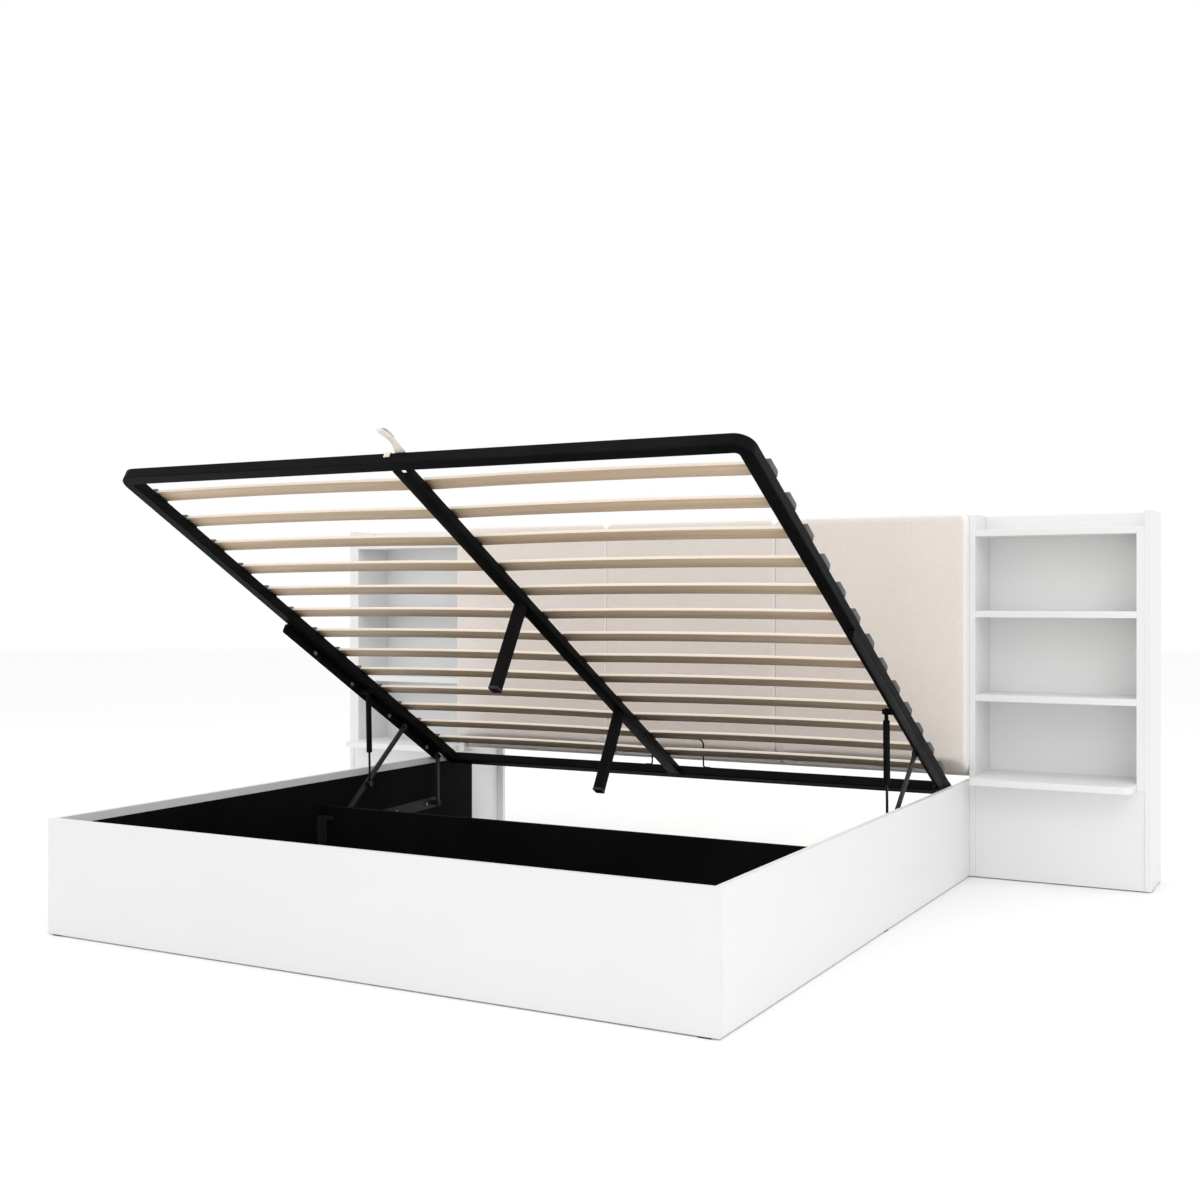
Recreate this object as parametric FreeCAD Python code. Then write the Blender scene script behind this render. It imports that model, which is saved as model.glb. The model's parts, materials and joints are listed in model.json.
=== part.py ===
import FreeCAD, Part

import math
import os

# Storage bed with an upholstered headboard between two open shelf units.
# The slatted platform is raised on its lift mechanism, as when the box is in use.
# Lengths are in millimetres and angles in degrees.
# X runs across the bed, Y from the footboard to the head, Z up.
# Y is counted from the footboard's outer face and Z from the boards' lower edges.
# The finished pieces are then moved so that the origin lies on the floor, mid width and mid depth.

Vector = FreeCAD.Vector

# Box
mattress_width = 2000.0
board = 18.0
rail_height = 320.0
unit_front = 2062.0
edge_break = 1.0
glide_height = 3.0
glide_width = 16.0
glide_length = 30.0
glide_inset = 36.0

# Lining, floor and divider of the box
liner = 3.0
liner_drop = 25.0
liner_overlap = 28.0
floor_sheet = 3.0
divider_gap = 21.2
divider_thickness = 16.0
divider_height = 213.0

# Brackets that hold the divider
bracket_sheet = 3.0
bracket_leg = 22.0
bracket_arm = 52.0
bracket_arm_height = 13.0
bracket_height = 120.0
bracket_drop = 33.0
bracket_flange = 26.0

# Posts behind the rails' head ends
post_width = 46.0

# Shelf units
unit_depth = 221.0
unit_width = 576.5
inner_wall = 20.0
side_wall = 24.0
outer_wall = 20.5
shelf = 22.0
bottom_shelf_height = 317.0
lower_bay = 249.0
middle_bay = 258.0
upper_bay = 249.0
upstand_height = 52.0
shelf_reach = 101.0
shelf_inner_gap = 6.0
shelf_corner = 30.0
lower_panel_setback = 2.0
upstand_setback = 146.0

# Headboard
headboard_clearance = 12.0
panel_count = 3
panel_depth = 84.0
panel_reach = 52.0
panel_gap = 0.6
panel_corner = 22.0
panel_corner_steps = 4
panel_back_inset = 4.0
crown_reach = 250.0
crown_steps = 7
crown_inset_power = 1.3
crown_start_share = 0.42
corner_growth_share = 0.2

# Platform
platform_tilt = 30.2
platform_length = 1980.0
platform_gap = 6.4
tube_width = 37.6
tube_height = 33.0
tube_corner = 48.0
tube_edge = 2.5
tube_wall = 2.0
beam_width = 44.0
beam_slot_width = 29.0
beam_slot_length = 5.0
beam_slot_offset = 5.5

# Slats and their holders
slat_count = 13
slat_width = 46.0
slat_thickness = 9.5
first_slat = 133.0
last_slat_gap = 115.0
slat_lift = 10.0
slat_bow = 5.0
slat_clearance = 0.5
holder_wall = 8.0
holder_roof = 3.0
cap_depth = 26.0
cap_end_wall = 8.0
centre_holder_width = 52.0
centre_web = 20.0
holder_edge = 3.0

# Support legs under the centre beam
leg_width = 30.0
leg_place_shares = (0.37, 0.733)
leg_reach = 318.0
leg_foot_height = 26.0
leg_foot_wall = 3.0
leg_foot_edge = 3.0

# Wire stop for the mattress
stop_wire = 6.0
stop_half_width = 102.0
stop_setback = 25.0
stop_height = 89.0
stop_lean = 51.0
stop_bend = 20.0
stop_bend_steps = 4
stop_sides = 8
stop_foot = 26.0
stop_foot_bend = 9.0

# Webbing pull loop
strap_thickness = 2.0
strap_width = 22.0
strap_reach = 68.0
strap_span = 38.0
strap_centre = -12.0
strap_lead = 26.0

# Lift mechanism, measured in the plane of its links
post_pivot_setback = 250.0
post_pivot_height = 143.6
base_span = 622.8
base_drop = 18.3
short_link_length = 179.8
short_link_angle = 89.91
post_seat_setback = 121.5
post_seat_drop = 58.2
link_seat_spacing = 252.5
link_seat_drop = 55.7
bar_setback = 100.0
bar_length = 1025.0
bar_thickness = 16.0
bar_depth = 34.5
bar_nose = 20.0
link_thickness = 8.0
short_link_half = 8.0
long_link_half = 9.0
link_eye_wall = 4.0
base_sheet = 4.0
base_half = 20.0
base_end = 12.0
pin_radius = 5.0
pin_boss = 9.0
pin_head = 8.0
pin_head_height = 5.0
play = 0.3

# Gas struts
strut_seat_spacing = 278.5
strut_seat_drop = 51.0
strut_on_link = 227.0
strut_radius = 10.0
strut_rim = 2.0
strut_body_length = 192.0
strut_body_start = 25.0
strut_rod_radius = 4.0
strut_rod_engaged = 14.0
strut_bore_depth = 150.0
strut_eye_radius = 10.0
strut_eye_thickness = 12.0
strut_neck_radius = 6.0
strut_socket_length = 22.0
strut_lateral_gap = 3.0

# Bolts on the upper bars and the base bars
bolt_radius = 6.0
bolt_height = 4.0
bolt_drop = 49.0
upper_bolt_shares = (0.178, 0.405, 0.651, 0.918)
base_bolt_shares = (0.12, 0.35, 0.62, 0.93)

# One overrun serves all cuts, and one weld closes the faceted panels
overrun = 5.0
weld = 0.001

# Sizes that follow from the ones above
box_half = mattress_width / 2 + board
inner_half = mattress_width / 2
lined_half = inner_half - liner
liner_end = unit_front + liner_overlap
rail_end = unit_front + unit_depth
back_end = rail_end + board
unit_inner = box_half + inner_wall
unit_outer = box_half + unit_width
outer_panel_inner = unit_outer - outer_wall
side_wall_inner = outer_panel_inner - side_wall
back_front = rail_end - board
lower_shelf_height = bottom_shelf_height + shelf + lower_bay
upper_shelf_height = lower_shelf_height + shelf + middle_bay
top_shelf_height = upper_shelf_height + shelf + upper_bay
unit_height = top_shelf_height + shelf + upstand_height
headboard_bottom = rail_height + headboard_clearance
panel_back = unit_front - panel_reach + panel_depth
platform_half_width = lined_half - platform_gap
post_pivot = (unit_front - post_pivot_setback, post_pivot_height)
link_pivot = (post_pivot[0] - base_span, post_pivot[1] - base_drop)
post_seat = (platform_length - post_seat_setback, -post_seat_drop)
link_seat = (post_seat[0] - link_seat_spacing, -link_seat_drop)
strut_seat = (link_seat[0] - strut_seat_spacing, -strut_seat_drop)
divider_front = link_pivot[0] - divider_gap - divider_thickness
bar_rear = platform_length - bar_setback
bar_front = bar_rear - bar_length
bar_inner = platform_half_width - bar_thickness
link_outer = bar_inner - play
link_inner = link_outer - link_thickness
base_inner = lined_half - base_sheet
strut_centre = link_inner - strut_lateral_gap - strut_radius
origin = Vector(0, back_end / 2, -glide_height)


def save(name, shape):
    """Write one piece, moved to the part's own origin."""
    placed = shape.copy()
    placed.translate(origin.negative())
    placed.exportStep(os.path.join("parts", name + ".step"))


def group(shapes):
    return Part.makeCompound(shapes)


def mirrored(shape):
    return shape.mirror(Vector(0, 0, 0), Vector(1, 0, 0))


def save_pair(name, right_shape):
    save(name + "_right", right_shape)
    save(name + "_left", mirrored(right_shape))


def block(x_range, y_range, z_range):
    corner = Vector(x_range[0], y_range[0], z_range[0])
    return Part.makeBox(x_range[1] - x_range[0], y_range[1] - y_range[0], z_range[1] - z_range[0], corner)


def panel(x_range, y_range, z_range):
    """A board or sheet with its edges broken."""
    solid = block(x_range, y_range, z_range)
    return solid.makeChamfer(edge_break, solid.Edges)


def prism(points, direction):
    """A prism on a closed outline."""
    face = Part.Face(Part.makePolygon(points + [points[0]]))
    return face.extrude(direction)


def disc(radius, x_range, centre):
    """A cylinder across the bed, centred on a point of the links' plane."""
    start = Vector(x_range[0], centre[0], centre[1])
    return Part.makeCylinder(radius, x_range[1] - x_range[0], start, Vector(1, 0, 0))


def nut(radius, x_range, centre):
    """A six-sided head or nut across the bed, centred on a point of the links' plane."""
    points = []
    for corner in range(6):
        y, z = polar(centre, radius, 60 * corner)
        points.append(Vector(x_range[0], y, z))
    return prism(points, Vector(x_range[1] - x_range[0], 0, 0))


def polar(start, length, angle):
    """A point of the links' plane at a distance and angle from another."""
    radians = math.radians(angle)
    return (start[0] + length * math.cos(radians), start[1] + length * math.sin(radians))


def turned(shape, angle, place):
    """Turn a shape in the links' plane about the X axis and move it to its pivot."""
    moved = shape.copy()
    moved.rotate(Vector(0, 0, 0), Vector(1, 0, 0), angle)
    moved.translate(Vector(0, place[0], place[1]))
    return moved


def flat_link(half_width, length, x_range):
    """A flat bar with round ends that starts at the origin and runs along Y."""
    x = x_range[0]
    near_arc = Part.Arc(Vector(x, 0, half_width), Vector(x, -half_width, 0), Vector(x, 0, -half_width))
    far_arc = Part.Arc(
        Vector(x, length, -half_width),
        Vector(x, length + half_width, 0),
        Vector(x, length, half_width),
    )
    lower = Part.LineSegment(Vector(x, 0, -half_width), Vector(x, length, -half_width))
    upper = Part.LineSegment(Vector(x, length, half_width), Vector(x, 0, half_width))
    wire = Part.Wire([curve.toShape() for curve in (near_arc, lower, far_arc, upper)])
    return Part.Face(wire).extrude(Vector(x_range[1] - x, 0, 0))


# Places in the links' plane

def measure(start, end):
    """Distance and angle from one point of the links' plane to another."""
    across = end[0] - start[0]
    rise = end[1] - start[1]
    return math.hypot(across, rise), math.degrees(math.atan2(rise, across))


post_head = polar(post_pivot, short_link_length, short_link_angle)
tilt = math.radians(platform_tilt)
platform_front = (
    post_head[0] - post_seat[0] * math.cos(tilt) - post_seat[1] * math.sin(tilt),
    post_head[1] + post_seat[0] * math.sin(tilt) - post_seat[1] * math.cos(tilt),
)


def on_platform(seat):
    """Place of a point given along and above the raised platform."""
    along, above = seat
    return (
        platform_front[0] + along * math.cos(tilt) + above * math.sin(tilt),
        platform_front[1] - along * math.sin(tilt) + above * math.cos(tilt),
    )


def raised(shape):
    """Move a piece built flat, along Y from the front tube and up from its top, to the raised platform."""
    return turned(shape, -platform_tilt, platform_front)


link_head = on_platform(link_seat)
long_link_length, long_link_angle = measure(link_pivot, link_head)
strut_head = on_platform(strut_seat)
strut_foot = polar(link_pivot, strut_on_link, long_link_angle)
strut_length, strut_angle = measure(strut_head, strut_foot)


# Box

def make_box():
    footboard = panel((-box_half, box_half), (0, board), (0, rail_height))
    save("footboard", footboard)
    rail = panel((inner_half, box_half), (board, rail_end), (0, rail_height))
    save_pair("side_rail", rail)
    liner_top = rail_height - liner_drop
    side_liner = block((lined_half, inner_half), (board, liner_end), (0, liner_top))
    save_pair("side_liner", side_liner)
    foot_liner = block((-lined_half, lined_half), (board, board + liner), (0, liner_top))
    save("foot_liner", foot_liner)
    divider_rear = divider_front + divider_thickness
    front_sheet = block((-lined_half, lined_half), (board + liner, divider_front), (0, floor_sheet))
    rear_sheet = block((-lined_half, lined_half), (divider_rear, liner_end), (0, floor_sheet))
    save("floor_sheets", group([front_sheet, rear_sheet]))
    divider = panel((-lined_half, lined_half), (divider_front, divider_rear), (0, divider_height))
    save("divider", divider)
    save("divider_brackets", make_divider_brackets())
    post = panel((box_half - post_width, box_half), (rail_end, back_end), (0, rail_height))
    save("rear_posts", group([post, mirrored(post)]))
    save("glides", make_glides())


def make_divider_brackets():
    """Steel angles in the corners of divider and lining, each with an arm along the divider's face."""
    top = divider_height - bracket_drop
    bottom = top - bracket_height
    face = divider_front - bracket_sheet
    outline = [
        Vector(lined_half, face, bottom),
        Vector(lined_half - bracket_leg, face, bottom),
        Vector(lined_half - bracket_leg, face, top - bracket_arm_height),
        Vector(lined_half - bracket_arm, face, top - bracket_arm_height),
        Vector(lined_half - bracket_arm, face, top),
        Vector(lined_half, face, top),
    ]
    plate = prism(outline, Vector(0, bracket_sheet, 0))
    flange = block(
        (lined_half - bracket_sheet, lined_half),
        (divider_front - bracket_flange, divider_front),
        (bottom, top),
    )
    bracket = plate.fuse(flange).removeSplitter()
    return group([bracket, mirrored(bracket)])


def make_glides():
    """Plastic glides under the boards' lower edges."""
    rail_middle = box_half - board / 2
    inner_wall_middle = box_half + inner_wall / 2
    outer_wall_middle = unit_outer - outer_wall / 2
    across = (glide_length / 2, glide_width / 2)
    lengthwise = (glide_width / 2, glide_length / 2)
    places = [
        (box_half - glide_inset, board / 2, across),
        (rail_middle, divider_front, lengthwise),
        (box_half - post_width / 2, rail_end + board / 2, across),
        (inner_wall_middle, unit_front + glide_inset, lengthwise),
        (inner_wall_middle, rail_end - glide_inset, lengthwise),
        (outer_wall_middle, unit_front + glide_inset, lengthwise),
        (outer_wall_middle, rail_end - glide_inset, lengthwise),
    ]
    glides = []
    for x, y, (half_x, half_y) in places:
        glide = block((x - half_x, x + half_x), (y - half_y, y + half_y), (-glide_height, 0))
        glides += [glide, mirrored(glide)]
    return group(glides)


# Headboard

def panel_section(half_width, half_height, inset, y):
    """The corner points of a rounded outline of one panel, drawn in by an inset."""
    corner = panel_corner + inset * corner_growth_share
    reach_x = half_width - inset - corner
    reach_z = half_height - inset - corner
    points = []
    for number, (side_x, side_z) in enumerate(((1, 1), (-1, 1), (-1, -1), (1, -1))):
        for step in range(panel_corner_steps + 1):
            turn = math.radians(90 * (number + step / panel_corner_steps))
            x = side_x * reach_x + corner * math.cos(turn)
            z = side_z * reach_z + corner * math.sin(turn)
            points.append(Vector(x, y, z))
    return points


def flat_face(points):
    return Part.Face(Part.makePolygon(points + [points[0]]))


def faceted(sections):
    """A closed solid of flat faces between sections whose edges run parallel."""
    faces = [flat_face(sections[0]), flat_face(sections[-1])]
    for rear, front in zip(sections, sections[1:]):
        for number in range(len(rear)):
            following = (number + 1) % len(rear)
            faces.append(flat_face([rear[number], rear[following], front[following], front[number]]))
    solid = Part.Solid(Part.makeShell(faces))
    solid.fix(weld, weld, weld)
    return solid


def make_headboard():
    carrier = panel(
        (-box_half, box_half),
        (panel_back, panel_back + board),
        (headboard_bottom, unit_height),
    )
    save("headboard_carrier", carrier)
    pitch = 2 * box_half / panel_count
    half_width = (pitch - panel_gap) / 2
    half_height = (unit_height - headboard_bottom) / 2
    sections = [
        panel_section(half_width, half_height, panel_back_inset, panel_back),
        panel_section(half_width, half_height, 0, panel_back - panel_back_inset),
    ]
    for step in range(crown_steps):
        turn = math.radians(90 * step / (crown_steps - 1))
        inset = crown_reach * (1 - math.cos(turn)) ** crown_inset_power
        depth_share = crown_start_share + (1 - crown_start_share) * math.sin(turn)
        y = panel_back - depth_share * panel_depth
        sections.append(panel_section(half_width, half_height, inset, y))
    padded = faceted(sections)
    for number in range(panel_count):
        piece = padded.copy()
        middle = -box_half + (number + 0.5) * pitch
        piece.translate(Vector(middle, 0, headboard_bottom + half_height))
        save("headboard_panel_%d" % (number + 1), piece)


# Shelf units

def make_bottom_shelf():
    """The lowest shelf reaches out in front of the unit and has one round corner."""
    front = unit_front - shelf_reach
    inner = unit_inner + shelf_inner_gap
    outer = side_wall_inner
    bend = shelf_corner * (1 - math.sqrt(0.5))
    z = bottom_shelf_height
    corner = Part.Arc(
        Vector(outer - shelf_corner, front, z),
        Vector(outer - bend, front + bend, z),
        Vector(outer, front + shelf_corner, z),
    )
    points = [
        Vector(outer, front + shelf_corner, z),
        Vector(outer, back_front, z),
        Vector(unit_inner, back_front, z),
        Vector(unit_inner, unit_front, z),
        Vector(inner, unit_front, z),
        Vector(inner, front, z),
        Vector(outer - shelf_corner, front, z),
    ]
    edges = [corner.toShape()]
    for start, end in zip(points, points[1:]):
        edges.append(Part.LineSegment(start, end).toShape())
    solid = Part.Face(Part.Wire(edges)).extrude(Vector(0, 0, shelf))
    return solid.makeChamfer(edge_break, solid.Edges)


def make_shelf_units():
    save_pair("unit_bed_wall", panel((box_half, unit_inner), (unit_front, rail_end), (0, unit_height)))
    outer = panel((outer_panel_inner, unit_outer), (unit_front, rail_end), (0, unit_height))
    save_pair("unit_outer_wall", outer)
    top = top_shelf_height + shelf
    side = panel((side_wall_inner, outer_panel_inner), (unit_front, back_front), (bottom_shelf_height, top))
    save_pair("unit_side_wall", side)
    save_pair("unit_back", panel((unit_inner, outer_panel_inner), (back_front, rail_end), (0, top)))
    face = unit_front + lower_panel_setback
    lower = panel((unit_inner, outer_panel_inner), (face, face + board), (0, bottom_shelf_height))
    save_pair("unit_lower_panel", lower)
    save_pair("unit_bottom_shelf", make_bottom_shelf())
    shelves = []
    for height in (lower_shelf_height, upper_shelf_height):
        shelves.append(panel((unit_inner, side_wall_inner), (unit_front, back_front), (height, height + shelf)))
    save_pair("unit_shelves", group(shelves))
    top_shelf = panel((unit_inner, side_wall_inner), (unit_front, back_front), (top_shelf_height, top))
    save_pair("unit_top_shelf", top_shelf)
    upstand_front = unit_front + upstand_setback
    upstand = panel(
        (unit_inner, outer_panel_inner),
        (upstand_front, upstand_front + board),
        (top, unit_height),
    )
    save_pair("unit_upstand", upstand)


# Platform, built flat and then raised

def tube_outline(half_width, front, rear, corner, z):
    """A U outline with round front corners, closed straight across at the rear."""
    bend = corner * (1 - math.sqrt(0.5))
    right_corner = Part.Arc(
        Vector(half_width - corner, front, z),
        Vector(half_width - bend, front + bend, z),
        Vector(half_width, front + corner, z),
    )
    left_corner = Part.Arc(
        Vector(-half_width, front + corner, z),
        Vector(-half_width + bend, front + bend, z),
        Vector(-half_width + corner, front, z),
    )
    right = Part.LineSegment(Vector(half_width, front + corner, z), Vector(half_width, rear, z))
    across = Part.LineSegment(Vector(half_width, rear, z), Vector(-half_width, rear, z))
    left = Part.LineSegment(Vector(-half_width, rear, z), Vector(-half_width, front + corner, z))
    foot = Part.LineSegment(
        Vector(-half_width + corner, front, z),
        Vector(half_width - corner, front, z),
    )
    curves = (right_corner, right, across, left, left_corner, foot)
    return Part.Wire([curve.toShape() for curve in curves])


def long_edges(shape, least):
    """Edges of a tube that lie in its top or bottom face and run along it."""
    chosen = []
    for edge in shape.Edges:
        flat = edge.BoundBox.ZLength < tube_edge / 2
        if flat and edge.Length > least:
            chosen.append(edge)
    return chosen


def hollowed(solid, x_range, y_range, z_range):
    """Take out the inside of a tube that is given by its outer sides."""
    ranges = [(low + tube_wall, high - tube_wall) for low, high in (x_range, y_range, z_range)]
    return solid.cut(block(ranges[0], ranges[1], ranges[2]))


def straight_tube(x_range, y_range):
    z_range = (-tube_height, 0)
    tube = block(x_range, y_range, z_range)
    tube = tube.makeChamfer(tube_edge, long_edges(tube, 2 * beam_width))
    return hollowed(tube, x_range, y_range, z_range)


def make_platform_tubes():
    rear = platform_length - tube_width
    outer = tube_outline(platform_half_width, 0, rear, tube_corner, -tube_height)
    inner = tube_outline(
        platform_half_width - tube_width,
        tube_width,
        rear + overrun,
        tube_corner - tube_width,
        -tube_height,
    )
    lift = Vector(0, 0, tube_height)
    frame = Part.Face(outer).extrude(lift).cut(Part.Face(inner).extrude(lift))
    rounded = [edge for edge in long_edges(frame, tube_edge) if edge.BoundBox.YMin < rear - tube_edge]
    frame = frame.makeChamfer(tube_edge, rounded)
    core_outer = tube_outline(
        platform_half_width - tube_wall,
        tube_wall,
        rear - tube_wall,
        tube_corner - tube_wall,
        tube_wall - tube_height,
    )
    core_inner = tube_outline(
        platform_half_width - tube_width + tube_wall,
        tube_width - tube_wall,
        rear,
        tube_corner - tube_width + tube_wall,
        tube_wall - tube_height,
    )
    core_lift = Vector(0, 0, tube_height - 2 * tube_wall)
    core = Part.Face(core_outer).extrude(core_lift).cut(Part.Face(core_inner).extrude(core_lift))
    save("platform_frame", raised(frame.cut(core)))
    head = straight_tube((-platform_half_width, platform_half_width), (rear, platform_length))
    save("head_tube", raised(head))
    beam = straight_tube((-beam_width / 2, beam_width / 2), (tube_width, rear))
    slot = block(
        (beam_slot_offset - beam_slot_width / 2, beam_slot_offset + beam_slot_width / 2),
        (tube_width - overrun, tube_width + beam_slot_length),
        (-tube_height - overrun, overrun),
    )
    save("centre_beam", raised(beam.cut(slot)))


def slat_starts():
    """Front edges of the slats, evenly spread between the first one and the last."""
    last = platform_length - last_slat_gap - slat_width
    pitch = (last - first_slat) / (slat_count - 1)
    return [first_slat + number * pitch for number in range(slat_count)]


def make_slat(start):
    """One bowed slat of the right-hand column."""
    near = centre_web / 2 + slat_clearance
    far = platform_half_width - cap_end_wall - slat_clearance
    middle = (near + far) / 2
    low = slat_lift
    high = slat_lift + slat_thickness
    under = Part.Arc(Vector(near, start, low), Vector(middle, start, low + slat_bow), Vector(far, start, low))
    over = Part.Arc(Vector(far, start, high), Vector(middle, start, high + slat_bow), Vector(near, start, high))
    far_end = Part.LineSegment(Vector(far, start, low), Vector(far, start, high))
    near_end = Part.LineSegment(Vector(near, start, high), Vector(near, start, low))
    wire = Part.Wire([curve.toShape() for curve in (under, far_end, over, near_end)])
    return Part.Face(wire).extrude(Vector(0, slat_width, 0))


def make_holder(x_range, pockets, start):
    """A moulded holder on a tube, with a pocket for each slat end that it takes."""
    height = slat_lift + slat_thickness + slat_clearance + holder_roof
    body = block(x_range, (start - holder_wall, start + slat_width + holder_wall), (0, height))
    top = [edge for edge in body.Edges if edge.BoundBox.ZMin > height - holder_edge]
    body = body.makeChamfer(holder_edge - slat_clearance, top)
    for pocket in pockets:
        cut = block(
            pocket,
            (start - slat_clearance, start + slat_width + slat_clearance),
            (slat_lift - slat_clearance, slat_lift + slat_thickness + slat_clearance),
        )
        body = body.cut(cut)
    return body


def make_slats():
    slats = [make_slat(start) for start in slat_starts()]
    save_pair("slats", raised(group(slats)))
    outer = platform_half_width
    inner = outer - cap_depth
    half = centre_holder_width / 2
    caps = []
    holders = []
    for start in slat_starts():
        cap = make_holder((inner, outer), [(inner - overrun, outer - cap_end_wall)], start)
        caps += [cap, mirrored(cap)]
        pockets = [(centre_web / 2, half + overrun), (-half - overrun, -centre_web / 2)]
        holders.append(make_holder((-half, half), pockets, start))
    save("slat_caps", raised(group(caps)))
    save("slat_holders", raised(group(holders)))


def make_support_legs():
    """Two tubular legs under the centre beam, each in a plastic foot."""
    half = leg_width / 2
    foot_half = half + leg_foot_wall
    foot_bottom = -leg_reach
    foot_top = foot_bottom + leg_foot_height
    tube_bottom = foot_bottom + leg_foot_wall
    legs = []
    feet = []
    for share in leg_place_shares:
        along = share * platform_length
        leg = block((-half, half), (along - half, along + half), (tube_bottom, -tube_height))
        upright = [edge for edge in leg.Edges if edge.BoundBox.ZLength > leg_width]
        leg = leg.makeChamfer(tube_edge / 2, upright)
        bore = block(
            (tube_wall - half, half - tube_wall),
            (along - half + tube_wall, along + half - tube_wall),
            (tube_bottom + tube_wall, -tube_height - tube_wall),
        )
        leg = leg.cut(bore)
        socket = block((-half, half), (along - half, along + half), (tube_bottom, foot_top))
        foot = block(
            (-foot_half, foot_half),
            (along - foot_half, along + foot_half),
            (foot_bottom, foot_top),
        )
        foot = foot.makeChamfer(leg_foot_edge / 2, foot.Edges)
        legs.append(leg)
        feet.append(foot.cut(socket))
    save("support_legs", raised(group(legs)))
    save("support_leg_feet", raised(group(feet)))


def bend_points(centre_x, centre_z, radius, first_angle):
    """Points along a quarter bend of the wire, from its first angle backwards."""
    points = []
    for step in range(stop_bend_steps + 1):
        turn = math.radians(first_angle - 90 * step / stop_bend_steps)
        points.append(Vector(centre_x + radius * math.cos(turn), 0, centre_z + radius * math.sin(turn)))
    return points


def make_mattress_stop():
    """A bent wire hoop on the head tube that leans towards the foot."""
    radius = stop_wire / 2
    length = math.hypot(stop_height - radius, stop_lean)
    side = stop_half_width
    toe = side + stop_foot
    foot_bend = bend_points(side + stop_foot_bend, stop_foot_bend, stop_foot_bend, 270)
    top_bend = bend_points(side - stop_bend, length - stop_bend, stop_bend, 90)
    right_half = [Vector(toe, 0, 0)] + foot_bend + list(reversed(top_bend))
    left_half = [Vector(-point.x, 0, point.z) for point in reversed(right_half)]
    path = Part.makePolygon(right_half + left_half)
    section = []
    for number in range(stop_sides + 1):
        turn = math.radians(360 * number / stop_sides)
        section.append(Vector(toe, radius * math.cos(turn), radius * math.sin(turn)))
    wire = path.makePipeShell([Part.makePolygon(section)], True, False, 1)
    lean = math.degrees(math.atan2(stop_lean, stop_height - radius))
    wire.rotate(Vector(0, 0, 0), Vector(1, 0, 0), lean)
    wire.translate(Vector(0, platform_length - stop_setback, radius))
    save("mattress_stop", raised(wire))


def make_pull_strap():
    """A loop of webbing whose two ends lie on the front tube."""
    half = strap_span / 2
    inner_half_span = half - strap_thickness
    reach = strap_reach
    inner_reach = reach - strap_thickness
    outline = [
        Part.Arc(Vector(half, 0, 0), Vector(0, -reach, 0), Vector(-half, 0, 0)),
        Part.LineSegment(Vector(-half, 0, 0), Vector(-half, strap_lead, 0)),
        Part.LineSegment(Vector(-half, strap_lead, 0), Vector(-inner_half_span, strap_lead, 0)),
        Part.LineSegment(Vector(-inner_half_span, strap_lead, 0), Vector(-inner_half_span, 0, 0)),
        Part.Arc(Vector(-inner_half_span, 0, 0), Vector(0, -inner_reach, 0), Vector(inner_half_span, 0, 0)),
        Part.LineSegment(Vector(inner_half_span, 0, 0), Vector(inner_half_span, strap_lead, 0)),
        Part.LineSegment(Vector(inner_half_span, strap_lead, 0), Vector(half, strap_lead, 0)),
        Part.LineSegment(Vector(half, strap_lead, 0), Vector(half, 0, 0)),
    ]
    wire = Part.Wire([curve.toShape() for curve in outline])
    loop = Part.Face(wire).extrude(Vector(0, 0, strap_width))
    loop.translate(Vector(strap_centre, 0, 0))
    save("pull_strap", raised(loop))


# Lift mechanism

def make_base_bar():
    """The bar on the box side, with a boss and a headed pin for each link."""
    length, angle = measure(link_pivot, post_pivot)
    bar = flat_link(base_half, length + base_end, (base_inner, lined_half))
    bar = turned(bar, angle, link_pivot)
    for pivot in (link_pivot, post_pivot):
        boss = disc(pin_boss, (link_outer + play, base_inner), pivot)
        pin = disc(pin_radius, (link_inner - play, link_outer + play), pivot)
        head = nut(pin_head, (link_inner - play - pin_head_height, link_inner - play), pivot)
        bar = bar.fuse([boss, pin, head])
    return bar


def make_upper_bar():
    """The bar under the side tube, with the pins of the short link and the strut."""
    top = -tube_height
    bottom = top - bar_depth
    bar = block((bar_inner, platform_half_width), (bar_front, bar_rear), (bottom, top))
    nose = []
    for edge in bar.Edges:
        bounds = edge.BoundBox
        if bounds.YMax < bar_front + bar_nose and bounds.ZMax < top - bar_nose and bounds.XLength > 0:
            nose.append(edge)
    bar = bar.makeFillet(bar_nose, nose)
    bar = hollowed(bar, (bar_inner, platform_half_width), (bar_front + bar_nose, bar_rear), (bottom, top))
    post_pin = disc(pin_radius, (link_inner - play, bar_inner), post_seat)
    post_pin_head = nut(pin_head, (link_inner - play - pin_head_height, link_inner - play), post_seat)
    eye_outer = strut_centre + strut_eye_thickness / 2 + play
    eye_inner = strut_centre - strut_eye_thickness / 2 - play
    strut_boss = disc(pin_boss, (eye_outer, bar_inner), strut_seat)
    strut_pin = disc(pin_radius, (eye_inner, eye_outer), strut_seat)
    strut_pin_head = nut(pin_head, (eye_inner - pin_head_height, eye_inner), strut_seat)
    return bar.fuse([post_pin, post_pin_head, strut_boss, strut_pin, strut_pin_head])


def make_link(half_width, length, drilled):
    """A flat link with round eyes at both ends, drilled at the given ones."""
    x_range = (link_inner, link_outer)
    link = block(x_range, (0, length), (-half_width, half_width))
    for place in (0, length):
        link = link.fuse(disc(half_width + link_eye_wall, x_range, (place, 0)))
    for place in drilled:
        link = link.cut(disc(pin_radius + play, (link_inner - overrun, link_outer + overrun), (place, 0)))
    return link


def make_short_link():
    return make_link(short_link_half, short_link_length, (0, short_link_length))


def make_long_link():
    """The long link is drilled at its foot and carries the head of its bolt at the platform end."""
    link = make_link(long_link_half, long_link_length, (0,))
    head = nut(pin_head, (link_inner - pin_head_height, link_inner), (long_link_length, 0))
    return link.fuse(head)


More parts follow.
